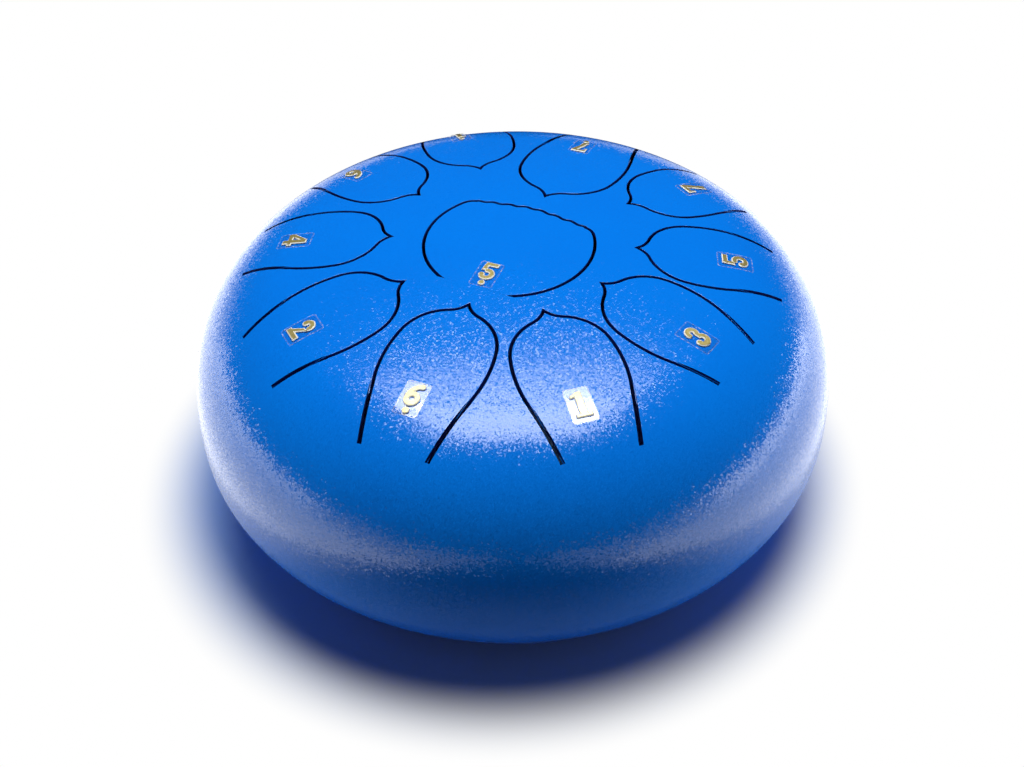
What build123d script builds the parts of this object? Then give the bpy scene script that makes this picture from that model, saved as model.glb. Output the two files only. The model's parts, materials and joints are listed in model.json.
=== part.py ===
"""A steel tongue drum: two drawn shells, eleven cut tongues, their number labels and three feet.

Millimetres, +Z up, with the origin on the floor under the middle of the drum. The player sits at -Y.
"""
from build123d import *
import os
from math import asin, cos, degrees, radians, sin, sqrt

os.makedirs("parts", exist_ok=True)

# Upper shell
drum_diameter = 254.0
crown_diameter = 168.0  # the gently domed lid inside the round shoulder
crown_radius = 508.0
shoulder_slope = 78.0  # degrees below level where the shoulder runs into the side
side_radius = 94.0
wall = 1.5

# Lower shell
bowl_depth = 47.8  # from the widest circle down to the flat underside
bowl_rim_radius = 25.5
bowl_taper = 32.3  # degrees that the side leans in
bowl_corner_radius = 12.7
sound_hole_diameter = 60.0
hole_edge_radius = 0.6

# Seam between the shells
weld_width = 2.0
lip_height = 6.0
lip_clearance = 0.1
joggle_height = 3.0

# Rubber feet
foot_count = 3
foot_diameter = 16.0
foot_height = 5.0
foot_edge_radius = 1.2
foot_circle_diameter = 140.0
foot_hole_diameter = 6.0
stem_clearance = 0.05
barb_diameter = 9.0
barb_height = 4.0
barb_tip_diameter = 5.0

# Tongues
slot_width = 1.2
root_gap = 0.06  # keeps a tongue's root clear of the shell as it bends
tip_angle = 29.0  # degrees between the axis and the edge at the pointed tip
flick_angle = 72.0  # the same where the tip's hollow curve ends
brow_angle = 12.0  # the same where the round brow runs into the side

# Number labels
film_width = 9.0
film_length = 13.6
film_corner_radius = 1.0
film_thickness = 0.1
foil_thickness = 0.25
glue_gap = 0.05
digit_height = 10.0
dotted_digit_height = 9.6

# One overrun for every cut, and the straight run past a root that is trimmed off again
overrun = 5.0

# Curves of a petal tongue, as shares of the drum's radius
flick_radius_share = 0.079
brow_radius_share = 0.142
flank_radius_share = 0.394

# Petal tongues: axis in degrees, taper in degrees, then shares of the drum's radius for the tip and the
# root line, the head's size as a share of the common head, the share of the drum's radius at the label's
# middle, and how many degrees the label was stuck on beside the axis
petal_shares = {
    "low_6": (-112.5, 13.0, 0.304, 0.803, 1.00, 0.658, -0.8),
    "1": (-74.0, 12.0, 0.326, 0.798, 1.00, 0.664, -1.0),
    "3": (-37.5, 15.0, 0.327, 0.764, 0.97, 0.643, -0.8),
    "5": (-4.5, 9.5, 0.378, 0.800, 0.98, 0.668, -0.6),
    "7": (29.0, 8.5, 0.428, 0.803, 1.00, 0.690, 0.3),
    "low_7": (64.0, 11.5, 0.266, 0.803, 1.12, 0.652, 2.7),
    "high_1": (101.5, 9.0, 0.440, 0.803, 1.04, 0.740, 1.3),
    "6": (135.0, 9.0, 0.398, 0.803, 1.02, 0.693, 1.9),
    "4": (171.0, 9.5, 0.359, 0.806, 0.98, 0.662, 0.3),
    "2": (-151.5, 10.0, 0.347, 0.803, 1.02, 0.662, 0.3),
}

# Centre tongue: the direction of its root in degrees, then shares of the drum's radius
centre_angle = -115.5
centre_radius_share = 0.254
centre_root_share = 0.230
centre_label_share = 0.172
centre_label_turn = 2.7  # degrees that its label was stuck on beside the root's direction
centre_cut_angle = 14.0  # degrees from the root's direction where the trimmed cut begins
centre_brow_angle = 122.0  # the same where the round side turns into the far corner
far_corner_radius_share = 0.045
far_edge_angle = 7.0  # degrees that the far edge leans towards its middle
far_edge_rise_share = 0.027
ripple_count = 7
ripple_height = 0.35

# Numerals in shares of the digit's height, from the middle of the digit: straight strokes by their
# corners, curved strokes by centre, radius, start and sweep in degrees, and round ends by centre and radius
stroke_share = 0.22
digit_shares = {
    "1": {
        "bars": (
            ((-0.13, -0.50), (0.15, -0.50), (0.15, 0.50), (-0.06, 0.50), (-0.13, 0.38)),
            ((-0.28, -0.50), (0.30, -0.50), (0.30, -0.36), (-0.28, -0.36)),
            ((-0.28, 0.24), (-0.12, 0.28), (-0.02, 0.50), (-0.28, 0.37)),
        ),
    },
    "2": {
        "bars": (
            ((-0.33, -0.50), (0.33, -0.50), (0.33, -0.28), (-0.33, -0.28)),
            ((-0.33, -0.40), (-0.02, -0.30), (0.26, 0.10), (0.04, 0.08)),
        ),
        "curves": ((0.00, 0.22, 0.170, 170.0, -215.0),),
        "ends": ((-0.155, 0.21, 0.125),),
    },
    "3": {
        "curves": (
            (0.00, 0.225, 0.165, 165.0, -255.0),
            (0.00, -0.195, 0.195, 90.0, -255.0),
        ),
        "ends": ((-0.16, 0.24, 0.120), (-0.175, -0.21, 0.125)),
    },
    "4": {
        "bars": (
            ((0.00, -0.50), (0.25, -0.50), (0.25, 0.50), (0.00, 0.50)),
            ((-0.37, -0.29), (0.37, -0.29), (0.37, -0.09), (-0.37, -0.09)),
            ((-0.37, -0.10), (-0.15, -0.10), (0.08, 0.26), (0.08, 0.50), (0.02, 0.50)),
        ),
    },
    "5": {
        "bars": (
            ((-0.25, 0.28), (0.29, 0.28), (0.31, 0.50), (-0.23, 0.50)),
            ((-0.28, 0.00), (-0.09, 0.06), (-0.05, 0.40), (-0.25, 0.40)),
        ),
        "curves": ((0.00, -0.18, 0.210, 128.0, -278.0),),
        "ends": ((-0.175, -0.24, 0.125),),
    },
    "6": {
        "curves": (
            (0.00, -0.195, 0.195, 0.0, 360.0),
            (0.33, -0.15, 0.540, 178.0, -75.0),
        ),
        "ends": ((0.18, 0.35, 0.120),),
    },
    "7": {
        "bars": (
            ((-0.32, 0.29), (0.34, 0.29), (0.34, 0.50), (-0.32, 0.50)),
            ((-0.32, 0.13), (-0.21, 0.13), (-0.16, 0.34), (-0.32, 0.34)),
            ((-0.20, -0.50), (0.08, -0.50), (0.13, -0.10), (0.34, 0.34), (0.08, 0.34), (-0.11, -0.10)),
        ),
    },
}
dot_radius_share = 0.135
dot_offset_share = 0.68

# Sizes that follow
drum_radius = drum_diameter / 2
crown_slope = degrees(asin(crown_diameter / 2 / crown_radius))
shoulder_radius = (drum_radius - crown_diameter / 2 - side_radius * (1 - sin(radians(shoulder_slope)))) / (
    sin(radians(shoulder_slope)) - sin(radians(crown_slope))
)
rim_height = foot_height + bowl_depth
lip_radius = (drum_radius - side_radius) + sqrt((side_radius - wall) ** 2 - lip_height**2) - lip_clearance
label_depths = {"film": (-glue_gap - film_thickness, -glue_gap)}
label_depths["foil"] = (-2 * glue_gap - film_thickness - foil_thickness, -2 * glue_gap - film_thickness)


def polar(centre, radius, angle):
    """A point at an angle in degrees, counted from the first axis, on a circle."""
    return (centre[0] + radius * cos(radians(angle)), centre[1] + radius * sin(radians(angle)))


# Arc centres of the dome's section, from the side up to the crown
side_centre = (drum_radius - side_radius, rim_height)
shoulder_centre = polar(side_centre, side_radius - shoulder_radius, 90 - shoulder_slope)
crown_centre = polar(shoulder_centre, shoulder_radius - crown_radius, 90 - crown_slope)
crown_top = crown_centre[1] + crown_radius
cut_height = crown_top + overrun - rim_height


def dome_curve(depth):
    """The dome's section from the axis out to its rim, a depth below the painted surface."""
    arcs = (
        (crown_centre, crown_radius, 0.0, crown_slope),
        (shoulder_centre, shoulder_radius, crown_slope, shoulder_slope),
        (side_centre, side_radius, shoulder_slope, 90.0),
    )
    return [
        CenterArc(centre, radius - depth, 90 - start, start - end)
        for centre, radius, start, end in arcs
    ]


def dome_section(outer_depth, inner_depth):
    """The half section of a dome-shaped layer between two depths."""
    with BuildSketch(Plane.XZ) as section:
        with BuildLine():
            outer = dome_curve(outer_depth)
            inner = dome_curve(inner_depth)
            Line(outer[0] @ 0, inner[0] @ 0)
            Line(outer[-1] @ 1, inner[-1] @ 1)
        make_face()
    return section.sketch


def lid_plane(angle):
    """A level plane below the dome whose first axis points out along an angle."""
    return Plane(origin=(0, 0, rim_height), x_dir=(cos(radians(angle)), sin(radians(angle)), 0))


def trim_past(edge):
    """Takes away what a lid sketch holds past a root line."""
    with Locations((edge, 0)):
        Rectangle(drum_diameter, drum_diameter, align=(Align.MIN, Align.CENTER), mode=Mode.SUBTRACT)


def petal_sketch(shares, growth, root_offset):
    """A petal tongue seen from above, grown from the middle of its cut and ended at its root line."""
    angle, taper, tip_share, root_share, head_share = shares[:5]
    head = head_share * drum_radius
    root = root_share * drum_radius
    with BuildSketch(lid_plane(angle)) as petal:
        with BuildLine():
            flick = JernArc(
                start=(tip_share * drum_radius, 0),
                tangent=polar((0, 0), 1, tip_angle),
                radius=flick_radius_share * head,
                arc_size=flick_angle - tip_angle,
            )
            brow = JernArc(
                start=flick @ 1,
                tangent=flick % 1,
                radius=brow_radius_share * head,
                arc_size=brow_angle - flick_angle,
            )
            flank = JernArc(
                start=brow @ 1,
                tangent=brow % 1,
                radius=flank_radius_share * head,
                arc_size=-taper - brow_angle,
            )
            run = (root + overrun - (flank @ 1).X) / cos(radians(taper))
            side = Line(flank @ 1, polar(tuple(flank @ 1), run, -taper))
            Line(side @ 1, ((side @ 1).X, 0))
            mirror(about=Plane.XZ)
        make_face()
        offset(amount=growth, kind=Kind.INTERSECTION)
        trim_past(root + root_offset)
    return petal.sketch


def centre_sketch(growth, root_offset):
    """The centre tongue seen from above: a round side and a far edge with small ripples."""
    radius = centre_radius_share * drum_radius + growth
    corner_radius = far_corner_radius_share * drum_radius + growth
    with BuildSketch(lid_plane(centre_angle)) as tongue:
        with BuildLine():
            side = CenterArc((0, 0), radius, centre_cut_angle, centre_brow_angle - centre_cut_angle)
            corner = JernArc(
                start=side @ 1,
                tangent=side % 1,
                radius=corner_radius,
                arc_size=180 - far_edge_angle - centre_brow_angle,
            )
            mirror(about=Plane.XZ)
            end = corner @ 1
            ripples = []
            for step in range(1, 2 * ripple_count):
                across = 1 - step / ripple_count
                rise = far_edge_rise_share * drum_radius * (1 - abs(across))
                ripples.append((end.X - rise - ripple_height * (-1) ** step, end.Y * across))
            Spline(
                end,
                *ripples,
                (end.X, -end.Y),
                tangents=[polar((0, 0), 1, -90 - lean) for lean in (far_edge_angle, -far_edge_angle)],
            )
            Line(side @ 0, ((side @ 0).X, -(side @ 0).Y))
        make_face()
        trim_past(centre_root_share * drum_radius + root_offset)
    return tongue.sketch


def tongue_sketch(note, growth, root_offset):
    """Any tongue seen from above, by its note."""
    if note in petal_shares:
        return petal_sketch(petal_shares[note], growth, root_offset)
    return centre_sketch(growth, root_offset)


def label_plane(note):
    """A level plane under a label's middle, with the digit's top towards the middle of the drum."""
    angle, distance = centre_angle + centre_label_turn, centre_label_share * drum_radius
    if note in petal_shares:
        label_share, label_turn = petal_shares[note][5:]
        angle, distance = petal_shares[note][0] + label_turn, label_share * drum_radius
    return Plane(
        origin=(*polar((0, 0), distance, angle), rim_height),
        x_dir=(-sin(radians(angle)), cos(radians(angle)), 0),
    )


def film_sketch(note):
    """The rounded outline of a clear label."""
    with BuildSketch(label_plane(note)) as film:
        RectangleRounded(film_width, film_length, film_corner_radius)
    return film.sketch


def numeral_sketch(note):
    """A note's digit, with a dot under a low note and over a high one."""
    dot_side = {"low": -1, "high": 1}.get(note.split("_")[0], 0)
    height = dotted_digit_height if dot_side else digit_height
    shape = digit_shares[note[-1]]
    stroke = stroke_share * height
    shift = -dot_side * (dot_offset_share + dot_radius_share - 1 / 2) / 2 * height
    with BuildSketch(label_plane(note)) as numeral:
        for bar in shape.get("bars", ()):
            with BuildLine():
                Polyline(*[(x * height, y * height + shift) for x, y in bar], close=True)
            make_face()
        for x, y, radius, start, sweep in shape.get("curves", ()):
            middle = (x * height, y * height + shift)
            if sweep == 360:
                with Locations(middle):
                    Circle(radius * height + stroke / 2)
                    Circle(radius * height - stroke / 2, mode=Mode.SUBTRACT)
                continue
            with BuildLine():
                outer = CenterArc(middle, radius * height + stroke / 2, start, sweep)
                inner = CenterArc(middle, radius * height - stroke / 2, start, sweep)
                Line(outer @ 0, inner @ 0)
                Line(outer @ 1, inner @ 1)
            make_face()
        for x, y, radius in shape.get("ends", ()):
            with Locations((x * height, y * height + shift)):
                Circle(radius * height)
        if dot_side:
            with Locations((0, dot_side * dot_offset_share * height + shift)):
                Circle(dot_radius_share * height)
    return numeral.sketch


notes = ("low_5", *petal_shares)

# Upper shell: the dome with a cut round every tongue
with BuildPart() as upper_shell:
    revolve(dome_section(0, wall), axis=Axis.Z)
    for note in notes:
        extrude(tongue_sketch(note, slot_width / 2, root_gap / 2), amount=cut_height, mode=Mode.SUBTRACT)
upper_shell.part.label = "upper_shell"
export_step(upper_shell.part, "parts/upper_shell.step")

# Tongues: the sheet that the cuts leave standing
for note in notes:
    with BuildPart() as tongue:
        revolve(dome_section(0, wall), axis=Axis.Z)
        extrude(tongue_sketch(note, -slot_width / 2, -root_gap / 2), amount=cut_height, mode=Mode.INTERSECT)
    tongue.part.label = f"tongue_{note}"
    export_step(tongue.part, f"parts/tongue_{note}.step")

# Lower shell: the bowl, with a lip that stands inside the dome's rim
bowl_rim_centre = (drum_radius - bowl_rim_radius, rim_height)
bowl_lean_end = polar(bowl_rim_centre, bowl_rim_radius, -bowl_taper)
corner_height = foot_height + bowl_corner_radius
corner_reach = (bowl_lean_end[0] - bowl_corner_radius * cos(radians(bowl_taper))) - (
    bowl_lean_end[1] - corner_height + bowl_corner_radius * sin(radians(bowl_taper))
) * sin(radians(bowl_taper)) / cos(radians(bowl_taper))
bowl_corner_centre = (corner_reach, corner_height)
ledge_angle = degrees(asin(weld_width / bowl_rim_radius))
rim_in_radius = bowl_rim_radius - wall
corner_in_radius = bowl_corner_radius - wall
joggle_angle = degrees(asin((weld_width + joggle_height) / rim_in_radius))
sound_hole_radius = sound_hole_diameter / 2
with BuildPart() as lower_shell:
    with BuildSketch(Plane.XZ) as bowl:
        with BuildLine():
            rim_out = CenterArc(bowl_rim_centre, bowl_rim_radius, -ledge_angle, ledge_angle - bowl_taper)
            corner_out = CenterArc(bowl_corner_centre, bowl_corner_radius, -bowl_taper, bowl_taper - 90)
            rim_in = CenterArc(bowl_rim_centre, rim_in_radius, -joggle_angle, joggle_angle - bowl_taper)
            corner_in = CenterArc(bowl_corner_centre, corner_in_radius, -bowl_taper, bowl_taper - 90)
            Line(rim_out @ 1, corner_out @ 0)
            Line(rim_in @ 1, corner_in @ 0)
            Polyline(
                corner_out @ 1,
                (sound_hole_radius, foot_height),
                (sound_hole_radius, foot_height + wall),
                corner_in @ 1,
            )
            Polyline(
                rim_out @ 0,
                (lip_radius, rim_height - weld_width),
                (lip_radius, rim_height + lip_height),
                (lip_radius - wall, rim_height + lip_height),
                (lip_radius - wall, rim_height - weld_width),
                rim_in @ 0,
            )
        make_face()
        fillet(bowl.vertices().group_by(Axis.X)[0], hole_edge_radius)
    revolve(axis=Axis.Z)
    with BuildSketch(Plane.XY.offset(foot_height)):
        with PolarLocations(foot_circle_diameter / 2, foot_count, start_angle=-90):
            Circle(foot_hole_diameter / 2)
    extrude(amount=wall, mode=Mode.SUBTRACT)
lower_shell.part.label = "lower_shell"
export_step(lower_shell.part, "parts/lower_shell.step")

# Seam weld: a bead between the dome's edge and the bowl's ledge, ground flush
with BuildPart() as seam_weld:
    with BuildSketch(Plane.XZ):
        with BuildLine():
            face = CenterArc(bowl_rim_centre, bowl_rim_radius, 0, -ledge_angle)
            Polyline(face @ 0, (lip_radius, rim_height), (lip_radius, rim_height - weld_width), face @ 1)
        make_face()
    revolve(axis=Axis.Z)
seam_weld.part.label = "seam_weld"
export_step(seam_weld.part, "parts/seam_weld.step")

# Rubber feet: a round pad, a stem through the bowl and a barb that holds it
stem_radius = foot_hole_diameter / 2 - stem_clearance
barb_base = foot_height + wall + stem_clearance
for step, side in enumerate(("front", "right", "left")):
    seat = (*polar((0, 0), foot_circle_diameter / 2, -90 + step * 360 / foot_count), 0)
    with BuildPart() as foot:
        with BuildSketch(Plane(origin=seat, x_dir=(1, 0, 0), z_dir=(0, -1, 0))) as section:
            with BuildLine():
                Polyline(
                    (0, 0),
                    (foot_diameter / 2, 0),
                    (foot_diameter / 2, foot_height),
                    (stem_radius, foot_height),
                    (stem_radius, barb_base),
                    (barb_diameter / 2, barb_base),
                    (barb_tip_diameter / 2, barb_base + barb_height),
                    (0, barb_base + barb_height),
                    close=True,
                )
            make_face()
            fillet(section.vertices().group_by(Axis.Y)[0].sort_by(Axis.X)[-1], foot_edge_radius)
        revolve(axis=Axis(seat, (0, 0, 1)))
    foot.part.label = f"foot_{side}"
    export_step(foot.part, f"parts/foot_{side}.step")

# Labels: a clear film on every tongue, and its foil numeral on top
for note in notes:
    for piece, sketch in (("film", film_sketch(note)), ("numeral", numeral_sketch(note))):
        depths = label_depths["film" if piece == "film" else "foil"]
        with BuildPart() as label:
            revolve(dome_section(*depths), axis=Axis.Z)
            extrude(sketch, amount=cut_height, mode=Mode.INTERSECT)
        label.part.label = f"{piece}_{note}"
        export_step(label.part, f"parts/{piece}_{note}.step")
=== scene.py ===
"""The looks of a blue steel tongue drum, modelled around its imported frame.

Metres, +Z up, with the origin on the floor under the middle of the drum. The player sits at -Y.
"""
import json
from functools import cache
from math import asin, atan2, cos, hypot, pi, radians, sin, sqrt, tan

import bpy
from bpy.props import FloatProperty, FloatVectorProperty, IntProperty, PointerProperty
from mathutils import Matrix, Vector

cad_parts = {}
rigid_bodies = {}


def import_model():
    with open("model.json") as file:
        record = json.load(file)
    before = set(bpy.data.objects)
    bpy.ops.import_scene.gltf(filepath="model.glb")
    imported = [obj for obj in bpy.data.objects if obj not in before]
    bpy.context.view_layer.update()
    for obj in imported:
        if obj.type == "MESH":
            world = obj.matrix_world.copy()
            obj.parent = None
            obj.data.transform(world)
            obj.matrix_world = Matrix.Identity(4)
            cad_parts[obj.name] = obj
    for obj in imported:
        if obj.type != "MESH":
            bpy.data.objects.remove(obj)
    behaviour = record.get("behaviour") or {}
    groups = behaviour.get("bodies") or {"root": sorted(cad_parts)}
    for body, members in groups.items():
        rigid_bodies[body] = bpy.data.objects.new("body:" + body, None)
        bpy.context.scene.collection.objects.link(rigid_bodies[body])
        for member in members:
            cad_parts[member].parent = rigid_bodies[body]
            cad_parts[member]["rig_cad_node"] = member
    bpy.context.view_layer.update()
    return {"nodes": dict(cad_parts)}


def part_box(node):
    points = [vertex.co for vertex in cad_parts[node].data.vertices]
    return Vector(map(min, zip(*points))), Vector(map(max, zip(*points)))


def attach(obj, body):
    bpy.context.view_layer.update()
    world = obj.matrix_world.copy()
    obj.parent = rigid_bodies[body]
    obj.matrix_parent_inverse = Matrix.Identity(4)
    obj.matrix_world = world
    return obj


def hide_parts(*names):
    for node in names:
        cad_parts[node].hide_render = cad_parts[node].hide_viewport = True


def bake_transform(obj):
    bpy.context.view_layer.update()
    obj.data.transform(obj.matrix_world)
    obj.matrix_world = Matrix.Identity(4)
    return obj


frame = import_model()
shell_low, shell_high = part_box("upper_shell")
bowl_low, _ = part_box("lower_shell")

bl_info = {
    "name": "Steel tongue drum",
    "version": (1, 0, 0),
    "blender": (4, 5, 0),
    "location": "View3D > Sidebar > Drum",
    "description": "Models the painted shells, cut tongues, labels and feet of a steel tongue drum",
    "category": "Mesh",
}

MM = 0.001
IMAGE_WIDTH = 1024
SENSOR_WIDTH = 36.0
NEAREST_VIEW = 0.01
FLOOR_SIZE = 8
MIX_A, MIX_B, MIX_RESULT = 6, 7, 2  # the colour sockets of a Mix node
RANGE_LOW, RANGE_HIGH = 9, 10  # the sockets for both ends of a Map Range node's vector result
BORDER = "border"
MERGE_GAP = MM / 1000
FEET = ("front", "right", "left")

# Edges bent further than these stay sharp
SHEET_CREASE, ROUND_CREASE, NUMERAL_CREASE = radians(50), radians(40), radians(20)

# How far a face may lean from the drawn skin to be sprayed (faces that lean further get the dark overspray,
# which is painted shade), to be part of the skin, and to be a label's top
SPRAY_LEAN, SKIN_LEAN, LABEL_LEAN = radians(60), radians(8), radians(30)

# Solids that cut the lid: how far they run over and reach down. Drill for the feet: its length in walls
CUT_OVERRUN, CUT_DEPTH, DRILL_WALLS = 5 * MM, 40 * MM, 6

# Segments along the arcs, and how softly the far edge of the centre tongue peaks in its middle
DOME_SEGMENTS = {"crown": 30, "shoulder": 32, "side": 6}
PETAL_SEGMENTS, CENTRE_SEGMENTS, RIPPLE_SEGMENTS = (8, 16, 16), (48, 10), 8
FOOT_STEPS = 64
EDGE_SOFTNESS = 0.1

# Sizes of the patterns in the finishes
PAINT_DRIFT, OVERSPRAY_DUST, FILM_AIR = 40 * MM, 1.5 * MM, 0.9 * MM
FOIL_CREASE, EDGE_GLOSS_MARKS, MOULD_GRAIN = 1.3 * MM, 0.4 * MM, 0.5 * MM
DUST_HEIGHT, AIR_HEIGHT, DENT_HEIGHT, GRAIN_HEIGHT = 0.05 * MM, 0.012 * MM, 0.08 * MM, 0.03 * MM

# How far aside a reflection points to show the white paper, and how far up to show the dark room
SIDE_START, SIDE_END, ROOM_RISE = 0.5, 0.8, 0.1

# Lamps: the place of each, the point that it faces, its width and height, and the property with its power
LID_FRONT = (0, -0.119, 0.115)
SIDE_AIM = (0, -0.03, 0.06)
SOFTBOXES = {
    "overhead_softbox": ((0, 0.137, 0.915), LID_FRONT, (0.58, 0.56), "overhead_power"),
    "overhead_core": ((0, 0.134, 0.905), LID_FRONT, (0.44, 0.36), "core_power"),
    "left_strip": ((-0.62, -0.03, 0.06), SIDE_AIM, (0.7, 0.09), "left_power"),
    "right_strip": ((0.62, -0.03, 0.06), SIDE_AIM, (0.7, 0.09), "right_power"),
    "left_table": ((-0.36, 0.0, 0.003), (-0.36, 0.0, 1.0), (0.4, 0.8), "table_power"),
    "right_table": ((0.36, 0.0, 0.003), (0.36, 0.0, 1.0), (0.4, 0.8), "table_power"),
}

# Petal tongues: axis in degrees, taper in degrees, then shares of the drum's radius for the tip and
# the root line, and the head's size as a share of the common head
PETAL_SHARES = {
    "low_6": (-112.5, 13.0, 0.304, 0.803, 1.00),
    "1": (-74.0, 12.0, 0.326, 0.798, 1.00),
    "3": (-37.5, 15.0, 0.327, 0.764, 0.97),
    "5": (-4.5, 9.5, 0.378, 0.800, 0.98),
    "7": (29.0, 8.5, 0.428, 0.803, 1.00),
    "low_7": (64.0, 11.5, 0.266, 0.803, 1.12),
    "high_1": (101.5, 9.0, 0.440, 0.803, 1.04),
    "6": (135.0, 9.0, 0.398, 0.803, 1.02),
    "4": (171.0, 9.5, 0.359, 0.806, 0.98),
    "2": (-151.5, 10.0, 0.347, 0.803, 1.02),
}
NOTES = ("low_5", *PETAL_SHARES)


def length(name, description, default):
    """A size property in metres."""
    return FloatProperty(name=name, description=description, default=default, unit="LENGTH", precision=5)


def angle(name, description, default):
    """An angle property, given here in degrees."""
    return FloatProperty(name=name, description=description, default=radians(default), unit="ROTATION")


def share(name, description, default):
    """A plain number, such as a share of the drum's radius."""
    return FloatProperty(name=name, description=description, default=default, precision=4)


def power(name, description, default):
    """A lamp's power in watts."""
    return FloatProperty(name=name, description=description, default=default, unit="POWER")


def paint_chip(name, description, default):
    """A colour property, given as an sRGB hex value."""
    return FloatVectorProperty(
        name=name, description=description, default=linear(default), size=3, subtype="COLOR", min=0, max=1
    )


def linear(hex_colour):
    """The linear colour of an sRGB hex value."""
    values = [int(hex_colour[i : i + 2], 16) / 255 for i in (1, 3, 5)]
    return tuple(v / 12.92 if v <= 0.04045 else ((v + 0.055) / 1.055) ** 2.4 for v in values)


class DrumShells(bpy.types.PropertyGroup):
    """Sizes of the two drawn shells."""

    crown_diameter: length("Crown diameter", "Width of the gently domed lid inside the shoulder", 0.168)
    crown_radius: length("Crown radius", "Radius that the lid is domed to", 0.508)
    shoulder_slope: angle("Shoulder slope", "Slope where the shoulder runs into the side", 78)
    side_radius: length("Side radius", "Radius of the bulging side", 0.094)
    wall: length("Wall", "Thickness of the steel sheet", 0.0015)
    bowl_rim_radius: length("Bowl rim radius", "Radius of the bowl just under the seam", 0.0255)
    bowl_taper: angle("Bowl taper", "Lean of the bowl's side", 32.3)
    bowl_corner_radius: length("Bowl corner radius", "Radius between the bowl's side and its base", 0.0127)
    sound_hole_diameter: length("Sound hole", "Diameter of the hole in the base", 0.060)
    hole_edge_radius: length("Sound hole edge", "Radius on both edges of the sound hole", 0.0006)
    weld_width: length("Weld width", "Width of the ground weld between the shells", 0.002)
    lip_height: length("Lip height", "Height of the bowl's lip inside the dome", 0.006)
    lip_clearance: length("Lip clearance", "Gap between the lip and the dome", 0.0001)
    joggle_height: length("Joggle height", "Height over which the bowl's wall steps in to the lip", 0.003)
    spin_steps: IntProperty(name="Spin steps", description="Faces round a shell", default=240)


class DrumTongues(bpy.types.PropertyGroup):
    """Sizes of the cuts that free the tongues."""

    slot_width: length("Slot width", "Width of the cut round a tongue", 0.0012)
    edge_radius: length("Edge radius", "Radius that the paint leaves on the edges of a cut", 0.00014)
    flexure: length("Flexure", "Length behind the root line over which a tongue bends", 0.004)
    tip_angle: angle("Tip angle", "Angle between a petal's axis and its edge at the tip", 29)
    flick_angle: angle("Flick angle", "The same where the tip's hollow curve ends", 72)
    brow_angle: angle("Brow angle", "The same where the round brow runs into the side", 12)
    flick_radius: share("Flick radius", "Hollow curve beside the tip", 0.079)
    brow_radius: share("Brow radius", "Round brow of a petal", 0.142)
    flank_radius: share("Flank radius", "Long side of a petal", 0.394)
    centre_angle: angle("Centre root direction", "Direction of the centre tongue's root", -115.5)
    centre_radius: share("Centre radius", "Round side of the centre tongue", 0.254)
    centre_root: share("Centre root", "Distance of the centre tongue's root line", 0.230)
    centre_cut_angle: angle("Centre cut angle", "Where the cut begins beside the root", 14)
    centre_brow_angle: angle("Centre brow angle", "Where the round side turns into the far corner", 122)
    far_corner_radius: share("Far corner radius", "Corner between round side and far edge", 0.045)
    far_edge_angle: angle("Far edge angle", "Lean of the far edge towards its middle", 7)
    far_edge_rise: share("Far edge rise", "How far the far edge's middle stands out", 0.027)
    ripple_count: IntProperty(name="Ripples", description="Small waves along the far edge", default=7)
    ripple_height: length("Ripple height", "Height of a wave from the middle line", 0.00035)


class DrumFinish(bpy.types.PropertyGroup):
    """Colours and textures of the finishes, and the shapes of small pieces."""

    paint_blue: paint_chip("Blue paint", "Colour of the sprayed enamel", "#0082F6")
    paint_deep: paint_chip("Blue paint, thick", "Colour where the enamel has run thicker", "#007AEE")
    # The overspray's dark colour is painted shade: it darkens the cut walls and the drum's inside as if they
    # were in shadow
    overspray_painted_shade: paint_chip("Overspray", "Colour of the thin paint inside the cuts and the drum", "#0A2C96")
    foil_gold: paint_chip("Gold foil", "Colour of the numerals", "#E2D288")
    foil_worn: paint_chip("Gold foil, creased", "Colour in the creases of the numerals", "#B8A460")
    # The numeral's white edge is a painted highlight: white on its sloping edge and sides stands in for
    # glints
    glint_white_edge: paint_chip("Numeral core", "Colour of the vinyl core at a numeral's cut edge", "#F6F3E4")
    film_haze: paint_chip("Film haze", "Colour of trapped air under the label films", "#E6EEFF")
    rubber_black: paint_chip("Rubber", "Colour of the feet", "#17181A")
    peel_size: length("Orange peel", "Spacing of the enamel's orange peel", 0.00045)
    peel_lean: share("Orange peel lean", "Steepest slope in the enamel's orange peel", 0.13)
    film_gloss: share("Film gloss", "Share of the light that each face of a label film mirrors", 0.05)
    film_veil: share("Film veil", "Haze on the rim of a film, as a share of full white", 0.1)
    film_border: length("Film border", "Width of the edge where a film has lifted a little", 0.0006)
    crown_border: length("Numeral border", "Width of the sloping edge round a numeral's top", 0.0004)
    crown_height: length("Numeral crown", "Height of the sloping edge round a numeral's top", 0.00022)
    foot_edge_radius: length("Foot edge", "Radius on the lower edge of a foot", 0.0012)
    foot_top_radius: length("Foot top edge", "Radius on the upper edge of a foot", 0.0005)
    foot_hole_diameter: length("Foot hole", "Diameter of the holes in the bowl for the feet", 0.006)
    foot_stem_diameter: length("Foot stem", "Diameter of a foot's stem in the bowl", 0.0059)
    foot_barb_diameter: length("Foot barb", "Diameter of the barb that holds a foot", 0.009)
    foot_barb_tip: length("Foot barb tip", "Diameter of the barb's tip", 0.005)
    foot_barb_height: length("Foot barb height", "Height of the barb inside the bowl", 0.004)


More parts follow.
